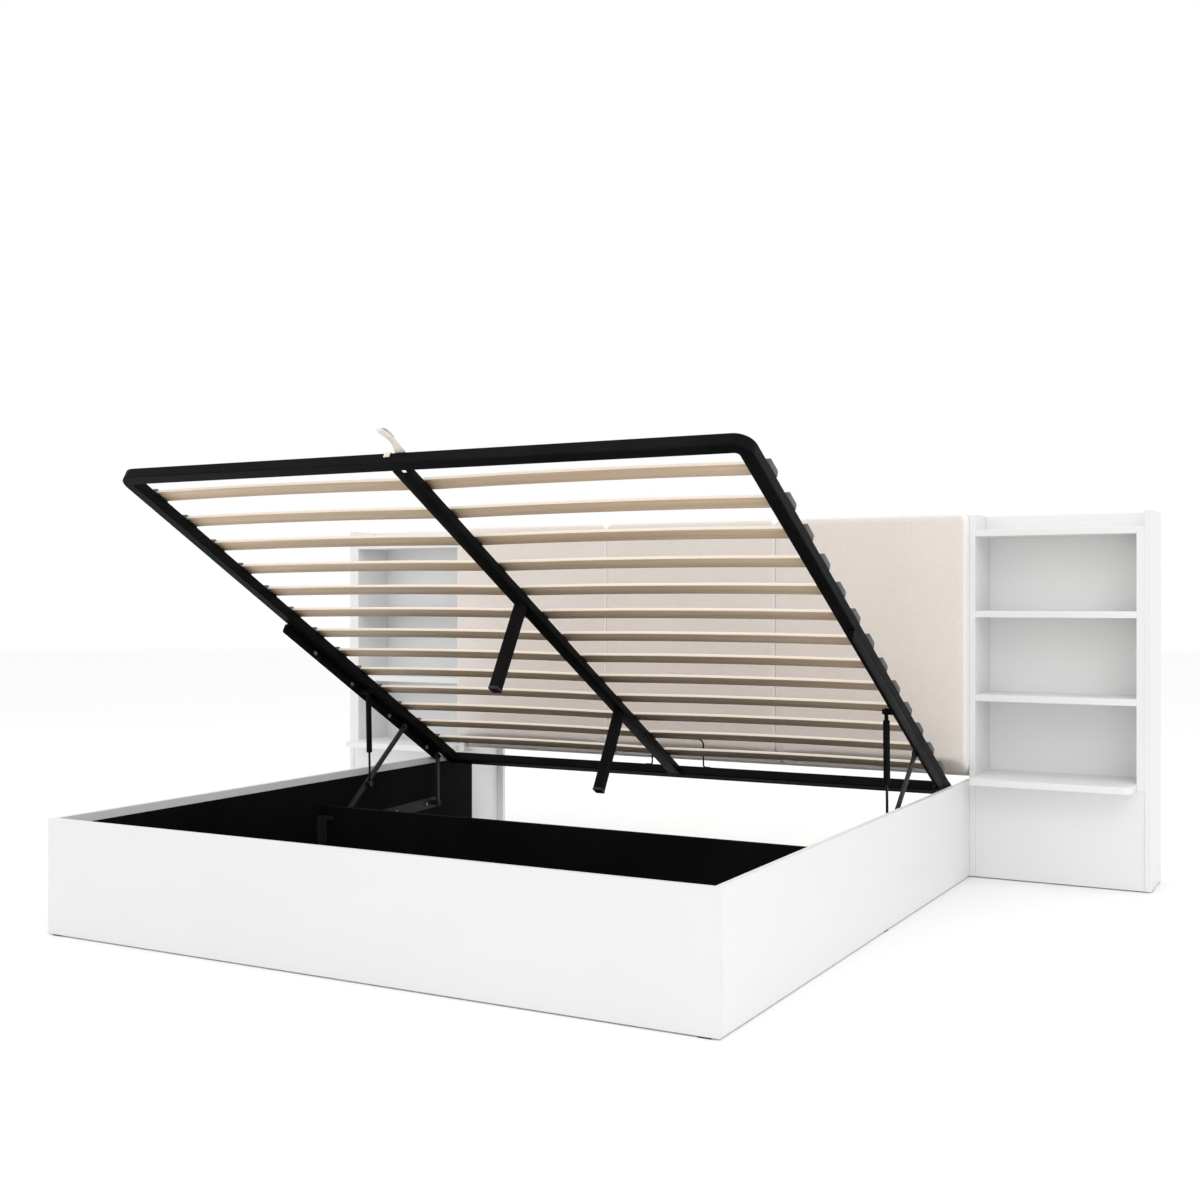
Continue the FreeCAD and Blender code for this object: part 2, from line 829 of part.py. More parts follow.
def along_strut(radius, start, length):
    """A round piece of the strut, which runs along Y from its upper eye."""
    return Part.makeCylinder(radius, length, Vector(strut_centre, start, 0), Vector(0, 1, 0))


def strut_eye(place):
    half = strut_eye_thickness / 2
    return disc(strut_eye_radius, (strut_centre - half, strut_centre + half), (place, 0))


def make_strut_cylinder():
    body = along_strut(strut_radius, strut_body_start, strut_body_length)
    rims = [edge for edge in body.Edges if edge.Closed]
    body = body.makeChamfer(strut_rim, rims)
    neck = along_strut(strut_neck_radius, 0, strut_body_start)
    body = body.fuse([neck, strut_eye(0)])
    half = strut_eye_thickness / 2 + overrun
    hole = disc(pin_radius + play, (strut_centre - half, strut_centre + half), (0, 0))
    end = strut_body_start + strut_body_length
    bore = along_strut(strut_rod_radius + play, end - strut_bore_depth, strut_bore_depth + overrun)
    return body.cut([hole, bore])


def make_strut_rod():
    """The rod, its socket and lower eye, with the stud that faces the long link."""
    start = strut_body_start + strut_body_length - strut_rod_engaged
    rod = along_strut(strut_rod_radius, start, strut_length - start)
    socket = along_strut(strut_neck_radius, strut_length - strut_socket_length, strut_socket_length)
    stud_start = strut_centre + strut_eye_thickness / 2
    stud = disc(pin_radius, (stud_start, link_inner - play), (strut_length, 0))
    return rod.fuse([socket, strut_eye(strut_length), stud])


def make_bolts():
    """Bolt heads on the inner faces of the upper bars and the base bars."""
    upper = []
    for share in upper_bolt_shares:
        place = (bar_front + share * bar_length, -bolt_drop)
        bolt = nut(bolt_radius, (bar_inner - bolt_height, bar_inner), place)
        upper += [bolt, mirrored(bolt)]
    save("upper_bar_bolts", raised(group(upper)))
    length, angle = measure(link_pivot, post_pivot)
    base = []
    for share in base_bolt_shares:
        place = polar(link_pivot, share * length, angle)
        bolt = nut(bolt_radius, (base_inner - bolt_height, base_inner), place)
        base += [bolt, mirrored(bolt)]
    save("base_bar_bolts", group(base))


def make_mechanism():
    save_pair("base_bar", make_base_bar())
    save_pair("upper_bar", raised(make_upper_bar()))
    save_pair("short_link", turned(make_short_link(), short_link_angle, post_pivot))
    save_pair("long_link", turned(make_long_link(), long_link_angle, link_pivot))
    save_pair("strut_cylinder", turned(make_strut_cylinder(), strut_angle, strut_head))
    save_pair("strut_rod", turned(make_strut_rod(), strut_angle, strut_head))
    make_bolts()


os.makedirs("parts", exist_ok=True)
make_box()
make_headboard()
make_shelf_units()
make_platform_tubes()
make_slats()
make_support_legs()
make_mattress_stop()
make_pull_strap()
make_mechanism()
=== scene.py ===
"""Storage bed with a raised slatted platform, a padded headboard and two open shelf units.

Metres. X runs along the width, the foot of the bed faces -Y, and the floor is z = 0.
"""
import json
import math

import bmesh
import bpy
from mathutils import Matrix, Vector, noise


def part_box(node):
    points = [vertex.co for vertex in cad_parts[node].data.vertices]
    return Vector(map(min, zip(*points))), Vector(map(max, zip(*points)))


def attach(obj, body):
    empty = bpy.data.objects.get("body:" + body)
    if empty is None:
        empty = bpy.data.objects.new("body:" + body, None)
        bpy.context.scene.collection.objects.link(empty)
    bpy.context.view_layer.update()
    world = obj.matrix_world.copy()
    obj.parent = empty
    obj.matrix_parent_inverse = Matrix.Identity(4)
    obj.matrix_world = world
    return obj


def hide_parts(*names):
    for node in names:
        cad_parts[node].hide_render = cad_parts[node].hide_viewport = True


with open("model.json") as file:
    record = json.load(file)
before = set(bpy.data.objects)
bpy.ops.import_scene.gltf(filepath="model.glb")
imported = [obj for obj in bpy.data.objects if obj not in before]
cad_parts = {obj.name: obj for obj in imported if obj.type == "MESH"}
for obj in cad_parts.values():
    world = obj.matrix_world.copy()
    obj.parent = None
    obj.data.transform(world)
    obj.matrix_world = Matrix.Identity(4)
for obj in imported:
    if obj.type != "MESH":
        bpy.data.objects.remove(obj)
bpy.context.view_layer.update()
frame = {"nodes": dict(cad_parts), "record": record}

# The platform is raised by this angle, and its front top edge lies here
platform_tilt = math.radians(30.2)
platform_front = Vector((0.0, -0.9152, 1.3116))

# The three padded panels
pad_voxel = 0.008
pad_corner = 0.022
pad_corner_steps = 6
pad_crown_steps = 14
pad_crown_reach = 0.014
pad_crown_power = 1.1
pad_crown_start = 0.93
pad_corner_growth = 0.2
pad_toe_depth = 0.05
pad_toe_slope = 1.7
pad_undersize = 0.0002
pad_swell_limit = 0.007
pad_held = 0.006
pad_pressure = 4.0
pad_frames = 20
pad_dimple = 0.0005
pad_dimple_scale = 9
pad_dimple_shift = 3.1
pad_cloth_mass = 0.3
pad_stiffness = 12
pad_bending = 0.4

# Sizes on the platform, in millimetres: across it, along it from its front edge, and above its top
tube_width = 37.6
tube_bottom = -33.0
head_start = 1942.4
beam_half = 22.0
beam_height = 24.0
beam_sheet = 2.0
beam_slot = (-9.0, 20.0)
beam_slot_length = 9.0
slat_first = 133.0
slat_pitch = 140.5
slat_count = 13
slat_width = 46.0
slat_bottom = 4.0
slat_top = 13.5
slat_bow = 5.0
slat_inner = 2.5
slat_outer = 982.0
slat_stations = 16
riser_half = 9.0
riser_inset = 6.0
web_half = 2.2
cap_inner = 964.6
cap_wall = 6.0
cap_top = 17.5
cap_slope = 4.0
cap_clearance = 0.4
cap_clearance_above = 0.6
leg_places = (732.6, 1451.34)
leg_bottom = -318.0
foot_half = 15.6
foot_height = 9.0
platform_half_width = 990.6
bar_inner = 974.6
bar_sheet = 3.0
bar_front = 855.0
bar_rear = 1880.0
bar_bottom = -67.5
bar_shoulder = 12.0
bar_nose = 5.0
post_seat = (1858.5, -58.2)
link_seat = (1606.0, -55.7)
strut_seat = (1327.5, -51.0)
pin_radius = 5.0
pin_head = 8.0
pin_boss = 9.0
post_pin_end = 966.0
post_head_end = 961.0
strut_boss_end = 959.6
strut_pin_end = 947.0
strut_head_end = 942.0
bolt_places = (1037.45, 1270.125, 1522.275, 1795.95)
bolt_level = -49.0
bolt_radius = 6.0
bolt_height = 4.0
washer_radius = 8.5
washer_height = 1.2

# Widths of the broken edges of these pieces, in millimetres
beam_edge = 0.8
riser_edge = 0.8
slat_edge = 1.2
cap_edge = 0.5
foot_edge = 1.5
bar_edge = 0.6
bolt_edge = 0.3

# The webbing of the pull loop, with its section in halves of its width and thickness
strap_width = 0.019
strap_thickness = 0.002
strap_steps = 8
strap_section = ((-1, -1), (-0.4, -1.15), (0.4, -1.15), (1, -1), (1, 1), (0.4, 1.15), (-0.4, 1.15), (-1, 1))

# The pull loop and the tab beside it go through these places on the platform, in millimetres
loop_places = (
    (7, 14, 1), (6, -3, 1.5), (6, -12, 9), (3, -28, 18), (-5, -44, 29), (-16, -58, 33), (-21, -64, 31),
    (-18, -62, 25), (-2, -46, 19), (12, -26, 11), (19, -8, 3), (20, 10, 1.4), (20, 22, 1.2),
)
tab_places = ((-24, 16, 1.2), (-24, 4, 1.2), (-24, -1.2, 1.2), (-24, -1.4, -6), (-24, -1.4, -14))

# How much lighter or darker some faces are painted than their finish: painted shade on the footboard,
# painted light on the unit backs and on the links, and the specular level of the links
footboard_painted_shade = 0.955
unit_back_painted_light = 1.06
link_painted_light = 3.0
link_specular = 0.2

# The camera of the photograph
camera_place = (2.2608, -3.9582, 0.9316)
camera_turn = 28.59
camera_lens = 43.536
camera_sensor = 36.0
camera_drop = -0.0006

# The floor of the picture
floor_radius = 24
floor_level = -0.0004

# The lights: name, place, target, size in metres, power in watts
lights = (
    ("key", (4.2, -3.6, 4.4), (0, 0, 0.4), 3.0, 55),
    ("front", (-2.6, -5.2, 3.0), (0, 0, 0.5), 3.0, 18),
    ("top", (0, 0.4, 5.2), (0, 0.2, 0), 4.0, 37),
)

# The two sides of the bed: the sign of X, and the name
sides = ((1, "right"), (-1, "left"))


# Steps that all modelled pieces share

def make_piece(name, shape):
    """Turn a shape into an object of the scene."""
    mesh = bpy.data.meshes.new(name)
    shape.to_mesh(mesh)
    shape.free()
    piece = bpy.data.objects.new(name, mesh)
    bpy.context.scene.collection.objects.link(piece)
    return piece


def add_skin(shape, rows):
    """A closed surface through rows of points, with the same number of points in each row."""
    loops = [[shape.verts.new(point) for point in row] for row in rows]
    for loop, following in zip(loops, loops[1:]):
        for number in range(len(loop)):
            after = (number + 1) % len(loop)
            shape.faces.new((loop[number], loop[after], following[after], following[number]))
    shape.faces.new(list(reversed(loops[0])))
    shape.faces.new(loops[-1])


def apply_modifiers(piece):
    graph = bpy.context.evaluated_depsgraph_get()
    mesh = bpy.data.meshes.new_from_object(piece.evaluated_get(graph))
    piece.modifiers.clear()
    piece.data = mesh


def break_edges(piece, width, least_angle):
    """Bevel the edges that turn by more than an angle in degrees, and shade the piece smooth."""
    bevel = piece.modifiers.new("bevel", "BEVEL")
    bevel.width = width
    bevel.segments = 2
    bevel.angle_limit = math.radians(least_angle)
    apply_modifiers(piece)
    piece.data.shade_smooth()


# Camera, floor and light

def make_camera():
    data = bpy.data.cameras.new("camera")
    data.lens = camera_lens
    data.sensor_width = camera_sensor
    data.shift_y = camera_drop
    data.clip_start = 0.05
    data.clip_end = 60.0
    camera = bpy.data.objects.new("camera", data)
    camera.location = camera_place
    camera.rotation_euler = (math.radians(90), 0, math.radians(camera_turn))
    bpy.context.scene.collection.objects.link(camera)
    bpy.context.scene.camera = camera


def make_area_light(name, place, target, size, power):
    data = bpy.data.lights.new(name, "AREA")
    data.shape = "DISK"
    data.size = size
    data.energy = power
    light = bpy.data.objects.new(name, data)
    light.location = place
    direction = Vector(target) - Vector(place)
    light.rotation_euler = direction.to_track_quat("-Z", "Y").to_euler()
    bpy.context.scene.collection.objects.link(light)


def make_stage():
    """A wide pale floor under an evenly bright sky, with three soft lights."""
    shape = bmesh.new()
    bmesh.ops.create_circle(shape, cap_ends=True, segments=64, radius=floor_radius)
    floor = make_piece("floor", shape)
    floor.location = (0, 0, floor_level)
    finish = Finish("pale_floor", roughness=0.9)
    cloud = finish.noise(finish.place(), 0.7, detail=2)
    finish.color(cloud, (0.955, 0.955, 0.955), (0.975, 0.975, 0.975))
    finish.cover(floor)
    world = bpy.data.worlds.new("studio")
    world.use_nodes = True
    background = world.node_tree.nodes["Background"]
    background.inputs["Color"].default_value = (1, 1, 1, 1)
    background.inputs["Strength"].default_value = 1.0
    bpy.context.scene.world = world
    bpy.context.scene.view_settings.view_transform = "Standard"
    for light in lights:
        make_area_light(*light)


# Finishes

class Finish:
    """A procedural finish that is put together from noise, waves and bumps."""

    def __init__(self, name, roughness=0.5, metallic=0.0, specular=0.5, sheen=0.0):
        self.material = bpy.data.materials.new(name)
        self.material.use_nodes = True
        self.nodes = self.material.node_tree.nodes
        self.links = self.material.node_tree.links
        self.shader = self.nodes["Principled BSDF"]
        self.shader.inputs["Roughness"].default_value = roughness
        self.shader.inputs["Metallic"].default_value = metallic
        self.shader.inputs["Specular IOR Level"].default_value = specular
        self.shader.inputs["Sheen Weight"].default_value = sheen
        self.normal = None
        self.source = self.nodes.new("ShaderNodeTexCoord")

    def place(self, scale=(1, 1, 1), turn=0.0):
        """Coordinates of the piece itself, first turned about X and then scaled."""
        output = self.source.outputs["Object"]
        if turn:
            turned = self.nodes.new("ShaderNodeMapping")
            turned.inputs["Rotation"].default_value = (turn, 0, 0)
            self.links.new(output, turned.inputs["Vector"])
            output = turned.outputs["Vector"]
        scaled = self.nodes.new("ShaderNodeMapping")
        scaled.inputs["Scale"].default_value = scale
        self.links.new(output, scaled.inputs["Vector"])
        return scaled.outputs["Vector"]

    def noise(self, place, scale, detail=3.0, distortion=0.0):
        node = self.nodes.new("ShaderNodeTexNoise")
        node.inputs["Scale"].default_value = scale
        node.inputs["Detail"].default_value = detail
        node.inputs["Distortion"].default_value = distortion
        self.links.new(place, node.inputs["Vector"])
        return node.outputs["Fac"]

    def wave(self, place, direction, scale, distortion=0.0):
        node = self.nodes.new("ShaderNodeTexWave")
        node.bands_direction = direction
        node.inputs["Scale"].default_value = scale
        node.inputs["Distortion"].default_value = distortion
        node.inputs["Detail"].default_value = 1.0
        self.links.new(place, node.inputs["Vector"])
        return node.outputs["Fac"]

    def math(self, kind, first, second=0.0):
        node = self.nodes.new("ShaderNodeMath")
        node.operation = kind
        for socket, value in zip(node.inputs, (first, second)):
            if isinstance(value, (int, float)):
                socket.default_value = value
            else:
                self.links.new(value, socket)
        return node.outputs["Value"]

    def spread(self, value, low, high):
        """Stretch the part of a value between low and high to 0 and 1."""
        node = self.nodes.new("ShaderNodeMapRange")
        node.inputs["From Min"].default_value = low
        node.inputs["From Max"].default_value = high
        self.links.new(value, node.inputs["Value"])
        return node.outputs["Result"]

    def mix(self, value, first, second):
        node = self.nodes.new("ShaderNodeMix")
        node.data_type = "RGBA"
        self.links.new(value, node.inputs["Factor"])
        for socket, tone in ((node.inputs[6], first), (node.inputs[7], second)):
            if isinstance(tone, tuple):
                socket.default_value = (*tone, 1)
            else:
                self.links.new(tone, socket)
        return node.outputs[2]

    def color(self, value, first, second):
        self.links.new(self.mix(value, first, second), self.shader.inputs["Base Color"])

    def rough(self, value, low, high):
        node = self.nodes.new("ShaderNodeMapRange")
        node.inputs["To Min"].default_value = low
        node.inputs["To Max"].default_value = high
        self.links.new(value, node.inputs["Value"])
        self.links.new(node.outputs["Result"], self.shader.inputs["Roughness"])

    def bump(self, height, strength, distance):
        node = self.nodes.new("ShaderNodeBump")
        node.inputs["Strength"].default_value = strength
        node.inputs["Distance"].default_value = distance
        self.links.new(height, node.inputs["Height"])
        if self.normal is not None:
            self.links.new(self.normal, node.inputs["Normal"])
        self.normal = node.outputs["Normal"]
        self.links.new(self.normal, self.shader.inputs["Normal"])

    def facing(self, direction):
        """How squarely a face looks along a direction of the piece, either way round."""
        node = self.nodes.new("ShaderNodeVectorMath")
        node.operation = "DOT_PRODUCT"
        node.inputs[1].default_value = direction
        self.links.new(self.source.outputs["Normal"], node.inputs[0])
        return self.math("ABSOLUTE", node.outputs["Value"])

    def cover(self, *pieces):
        for piece in pieces:
            piece.data.materials.clear()
            piece.data.materials.append(self.material)


def shaded(painted_light_scale, *tones):
    return [tuple(painted_light_scale * share for share in tone) for tone in tones]


def white_board(name="white_board", painted_light_scale=1.0):
    """White melamine board: a fine pearl texture and a slightly uneven sheen."""
    finish = Finish(name, specular=0.4)
    grain = finish.noise(finish.place(), 900, detail=2)
    cloud = finish.noise(finish.place(), 2.2, detail=3)
    # A scale other than 1 paints light or shade into the tones: painted light on the unit backs, painted
    # shade on the footboard.
    tones = shaded(painted_light_scale, (0.79, 0.796, 0.793), (0.81, 0.816, 0.813))
    finish.color(finish.spread(cloud, 0.3, 0.7), *tones)
    finish.rough(finish.spread(cloud, 0.25, 0.75), 0.36, 0.46)
    finish.bump(grain, 0.12, 0.0004)
    return finish


def black_board():
    """Black faced fibreboard with a matt, slightly dusty face."""
    finish = Finish("black_board", specular=0.04)
    fine = finish.noise(finish.place(), 420, detail=4)
    cloud = finish.noise(finish.place(), 3.0, detail=4)
    finish.color(finish.spread(cloud, 0.3, 0.7), (0.0035, 0.0035, 0.004), (0.007, 0.007, 0.0075))
    finish.rough(finish.spread(fine, 0.3, 0.7), 0.6, 0.8)
    finish.bump(fine, 0.2, 0.0005)
    return finish


def upholstery():
    """Soft woven cover: crossing threads that differ a little in tone, and a painted highlight on the faces
    at the sides.
    """
    finish = Finish("upholstery", roughness=0.92, specular=0.15, sheen=0.35)
    finish.shader.inputs["Sheen Roughness"].default_value = 0.45
    finish.shader.inputs["Sheen Tint"].default_value = (1.0, 0.97, 0.95, 1)
    place = finish.place()
    across, along = [finish.wave(place, direction, 290, distortion=0.6) for direction in "XZ"]
    weave = finish.math("MULTIPLY", across, along)
    warp = finish.noise(finish.place((900, 60, 60)), 1.0, detail=2)
    weft = finish.noise(finish.place((60, 60, 900)), 1.0, detail=2)
    thread = finish.spread(finish.math("ADD", warp, weft), 0.75, 1.25)
    cloud = finish.spread(finish.noise(finish.place(), 3.5, detail=4), 0.3, 0.7)
    ground = finish.mix(cloud, (0.765, 0.7, 0.655), (0.79, 0.73, 0.685))
    light = finish.mix(cloud, (0.825, 0.77, 0.73), (0.85, 0.8, 0.76))
    woven = finish.mix(thread, ground, light)
    # Painted highlight: faces that look along X, at the panels' sides and seams, are painted near white to
    # stand in for the light caught there.
    finish.color(finish.spread(finish.facing((1, 0, 0)), 0.2, 0.7), woven, (0.93, 0.9, 0.87))
    finish.bump(weave, 0.35, 0.0006)
    finish.bump(thread, 0.2, 0.0004)
    return finish


def backing_cloth():
    """Plain pale lining cloth on the back of the headboard."""
    finish = Finish("backing_cloth", roughness=0.95, specular=0.1, sheen=0.2)
    fuzz = finish.noise(finish.place(), 700, detail=3)
    cloud = finish.spread(finish.noise(finish.place(), 5, detail=3), 0.3, 0.7)
    finish.color(cloud, (0.8, 0.75, 0.71), (0.84, 0.79, 0.75))
    finish.bump(fuzz, 0.3, 0.0004)
    return finish


def slat_wood():
    """Bent birch slat: fine grain along the slat, thin layers in its long edges, a satin lacquer."""
    finish = Finish("slat_wood", specular=0.35)
    grain = finish.noise(finish.place((1.6, 70, 70), platform_tilt), 1.0, detail=6, distortion=0.5)
    pores = finish.noise(finish.place((14, 900, 900), platform_tilt), 1.0, detail=2)
    board = finish.noise(finish.place((0.15, 7.5, 0.1), platform_tilt), 1.0, detail=1)
    pale = finish.mix(finish.spread(board, 0.35, 0.65), (0.7, 0.54, 0.385), (0.75, 0.595, 0.445))
    deep = finish.mix(finish.spread(board, 0.35, 0.65), (0.58, 0.415, 0.275), (0.64, 0.48, 0.335))
    face = finish.mix(finish.spread(grain, 0.35, 0.68), pale, deep)
    layers = finish.wave(finish.place(turn=platform_tilt), "Z", 105, distortion=0.3)
    edge = finish.mix(finish.spread(layers, 0.25, 0.75), (0.76, 0.64, 0.52), (0.92, 0.84, 0.73))
    normal = (0.0, math.sin(platform_tilt), math.cos(platform_tilt))
    on_face = finish.spread(finish.facing(normal), 0.4, 0.7)
    finish.color(on_face, edge, face)
    finish.rough(finish.spread(pores, 0.3, 0.7), 0.42, 0.6)
    finish.bump(grain, 0.15, 0.0006)
    finish.bump(pores, 0.15, 0.0003)
    return finish


def moulded(name, dark, light, roughness):
    """Moulded plastic with a faint spark-eroded texture."""
    finish = Finish(name, specular=0.45)
    fine = finish.noise(finish.place(), 1300, detail=3)
    cloud = finish.noise(finish.place(), 12, detail=3)
    finish.color(finish.spread(cloud, 0.3, 0.7), dark, light)
    finish.rough(finish.spread(fine, 0.3, 0.7), roughness - 0.06, roughness + 0.08)
    finish.bump(fine, 0.3, 0.0004)
    return finish


def powder_coat(name="black_steel", specular=0.03, painted_light_scale=1.0):
    """Black powder coat on steel: a fine leathery bump and small changes of sheen."""
    finish = Finish(name, specular=specular)
    peel = finish.noise(finish.place(), 520, detail=3)
    cloud = finish.noise(finish.place(), 6, detail=4)
    # A scale other than 1 paints light into the tones: the links are painted lighter than the black steel.
    tones = shaded(painted_light_scale, (0.005, 0.005, 0.0053), (0.009, 0.009, 0.0095))
    finish.color(finish.spread(cloud, 0.3, 0.7), *tones)
    finish.rough(finish.spread(cloud, 0.25, 0.75), 0.42, 0.55)
    finish.bump(peel, 0.25, 0.0004)
    return finish


def bright_metal(name, dark, light, roughness):
    """Bright metal with fine turning marks."""
    finish = Finish(name, metallic=1.0)
    marks = finish.noise(finish.place((300, 300, 900)), 1.0, detail=3)
    cloud = finish.noise(finish.place(), 90, detail=3)
    finish.color(finish.spread(cloud, 0.3, 0.7), dark, light)
    finish.rough(finish.spread(marks, 0.3, 0.7), roughness - 0.06, roughness + 0.1)
    finish.bump(marks, 0.1, 0.0002)
    return finish


def webbing():
    """Cotton webbing with a herringbone of thick threads."""
    finish = Finish("webbing", roughness=0.9, specular=0.2, sheen=0.25)
    place = finish.place()
    ribs = finish.wave(place, "DIAGONAL", 190, distortion=0.4)
    fuzz = finish.noise(finish.place(), 900, detail=3)
    cloud = finish.noise(finish.place(), 40, detail=2)
    finish.color(finish.spread(cloud, 0.3, 0.7), (0.72, 0.66, 0.58), (0.84, 0.79, 0.72))
    finish.bump(ribs, 0.5, 0.0007)
    finish.bump(fuzz, 0.3, 0.0003)
    return finish


def make_finishes():
    return {
        "white_board": white_board(),
        "black_board": black_board(),
        "upholstery": upholstery(),
        "backing_cloth": backing_cloth(),
        "slat_wood": slat_wood(),
        "grey_plastic": moulded("grey_plastic", (0.07, 0.07, 0.074), (0.105, 0.105, 0.11), 0.5),
        "black_plastic": moulded("black_plastic", (0.012, 0.012, 0.012), (0.022, 0.022, 0.022), 0.5),
        "black_steel": powder_coat(),
        "zinc_steel": bright_metal("zinc_steel", (0.28, 0.28, 0.285), (0.4, 0.4, 0.4), 0.34),
        "bright_rod": bright_metal("bright_rod", (0.02, 0.02, 0.021), (0.04, 0.04, 0.042), 0.3),
        "webbing": webbing(),
    }


def dress_nodes(finishes):
    """Give each node of the model the full finish of its material slot; a few nodes then get lighter or
    darker copies of it, with painted light or painted shade.
    """
    for part in frame["record"]["subparts"]:
        finishes[part["material_slot"]].cover(frame["nodes"][part["node"]])
    # Painted light: the unit backs get a lighter copy of the white board.
    white_back_painted_light = white_board("white_back_painted_light", unit_back_painted_light)
    # Painted light: the links, base bars and divider brackets get a lighter copy of the black steel.
    link_steel_painted_light = powder_coat("link_steel_painted_light", link_specular, link_painted_light)
    link_steel_painted_light.cover(frame["nodes"]["divider_brackets"])
    for _, side_name in sides:
        white_back_painted_light.cover(frame["nodes"]["unit_back_" + side_name])
        for kind in ("long_link_", "short_link_", "base_bar_"):
            link_steel_painted_light.cover(frame["nodes"][kind + side_name])
    # Painted shade: the footboard gets a darker copy of the white board.
    white_board("white_front_painted_shade", footboard_painted_shade).cover(frame["nodes"]["footboard"])


# Padded panels

def pad_outline(half_width, half_height, inset, place, depth):
    """Points round one pad at a place along Y, raised at the toe where the pad is deep."""
    corner = pad_corner + inset * pad_corner_growth
    top = half_height - inset - corner
    bottom = max(0, depth - pad_toe_depth) * pad_toe_slope - top
    points = []
    for number, (side_x, middle_z) in enumerate(((1, top), (-1, top), (-1, bottom), (1, bottom))):
        for step in range(pad_corner_steps + 1):
            turn = math.radians(90 * (number + step / pad_corner_steps))
            x = side_x * (half_width - inset - corner) + corner * math.cos(turn)
            points.append(Vector((x, place, middle_z + corner * math.sin(turn))))
    return points


def pad_shape(low, high):
    """A crowned pad between two corners, closed all round."""
    middle = (low + high) / 2
    half_width = (high.x - low.x) / 2 - pad_undersize
    half_height = (high.z - low.z) / 2 - pad_undersize
    depth = high.y - low.y - pad_undersize
    outlines = [pad_outline(half_width, half_height, 0, high.y, 0)]
    for step in range(pad_crown_steps):
        turn = math.radians(90 * step / (pad_crown_steps - 1))
        inset = pad_crown_reach * (1 - math.cos(turn)) ** pad_crown_power
        share = pad_crown_start + (1 - pad_crown_start) * math.sin(turn)
        outlines.append(pad_outline(half_width, half_height, inset, high.y - share * depth, share * depth))
    shape = bmesh.new()
    shift = Vector((middle.x, 0, middle.z))
    add_skin(shape, [[point + shift for point in outline] for outline in outlines])
    bmesh.ops.recalc_face_normals(shape, faces=shape.faces)
    return shape


def swell(pad, low, high):
    """Blow the front up a little from inside, as foam does, while the back and the sides are held."""
    start = [vertex.co.copy() for vertex in pad.data.vertices]
    held = pad.vertex_groups.new(name="held")
    fixed = []
    for vertex in pad.data.vertices:
        place = vertex.co
        to_side = min(place.x - low.x, high.x - place.x, high.z - place.z)
        if place.y > high.y - pad_held or to_side < pad_held:
            fixed.append(vertex.index)
    held.add(fixed, 1.0, "ADD")
    cloth = pad.modifiers.new("cloth", "CLOTH")
    cloth.settings.quality = 4
    cloth.settings.mass = pad_cloth_mass
    cloth.settings.tension_stiffness = pad_stiffness
    cloth.settings.compression_stiffness = pad_stiffness
    cloth.settings.bending_stiffness = pad_bending
    cloth.settings.use_pressure = True
    cloth.settings.uniform_pressure_force = pad_pressure
    cloth.settings.effector_weights.gravity = 0
    cloth.settings.vertex_group_mass = held.name
    cloth.point_cache.frame_start = 1
    cloth.point_cache.frame_end = pad_frames
    cloth.collision_settings.use_collision = False
    for number in range(1, pad_frames + 1):
        bpy.context.scene.frame_set(number)
    apply_modifiers(pad)
    bpy.context.scene.frame_set(1)
    for vertex, old in zip(pad.data.vertices, start):
        move = vertex.co - old
        if move.length > pad_swell_limit:
            vertex.co = old + move * (pad_swell_limit / move.length)


def make_pad(number, finish):
    """One upholstered panel of the headboard."""
    node = "headboard_panel_%d" % number
    low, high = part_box(node)
    pad = make_piece("padded_panel_%d" % number, pad_shape(low, high))
    remesh = pad.modifiers.new("remesh", "REMESH")
    remesh.mode = "VOXEL"
    remesh.voxel_size = pad_voxel
    apply_modifiers(pad)
    swell(pad, low, high)
    for vertex in pad.data.vertices:
        place = vertex.co
        sample = (place.x * pad_dimple_scale, number * pad_dimple_shift, place.z * pad_dimple_scale)
        place.y += noise.noise(Vector(sample)) * pad_dimple
        place.x = min(max(place.x, low.x), high.x)
        place.y = min(max(place.y, low.y - pad_undersize), high.y)
        place.z = min(max(place.z, low.z), high.z)
    smooth = pad.modifiers.new("smooth", "SUBSURF")
    smooth.levels = 1
    smooth.render_levels = 1
    apply_modifiers(pad)
    pad.data.shade_smooth()
    finish.cover(pad)
    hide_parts(node)
    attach(pad, "box")


# Rigid pieces of the platform that are finer than their solids

def on_platform(x, along, above):
    """A point given in millimetres from the front top edge, along the slope and above it."""
    flat = Vector((x, along, above)) / 1000
    return Matrix.Rotation(-platform_tilt, 3, "X") @ flat + platform_front


def add_along(shape, outline, along_range):
    """A prism along the platform. Its outline is given across and above it."""
    add_skin(shape, [[on_platform(x, along, above) for x, above in outline] for along in along_range])


def add_across(shape, outline, x_range):
    """A prism across the platform. Its outline is given along and above it."""
    add_skin(shape, [[on_platform(x, along, above) for along, above in outline] for x in x_range])


def rectangle(first_range, second_range):
    (left, right), (low, high) = first_range, second_range
    return [(left, low), (right, low), (right, high), (left, high)]


def arc(centre, radius, first, last, steps=8):
    """Points on an arc between two angles in degrees, from the platform's length to its upright."""
    turns = [math.radians(first + (last - first) * step / steps) for step in range(steps + 1)]
    return [(centre[0] + radius * math.cos(turn), centre[1] + radius * math.sin(turn)) for turn in turns]


def circle(centre, radius, corners=24):
    return arc(centre, radius, 0, 360 - 360 / corners, corners - 1)


def make_platform_piece(name, shape, node, slot, edge):
    """Turn a shape into a piece with broken edges that stands for a node."""
    bmesh.ops.recalc_face_normals(shape, faces=shape.faces)
    piece = make_piece(name, shape)
    break_edges(piece, edge / 1000, least_angle=40)
    piece.data.set_sharp_from_angle(angle=math.radians(35))
    finishes[slot].cover(piece)
    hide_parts(node)
    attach(piece, "platform")


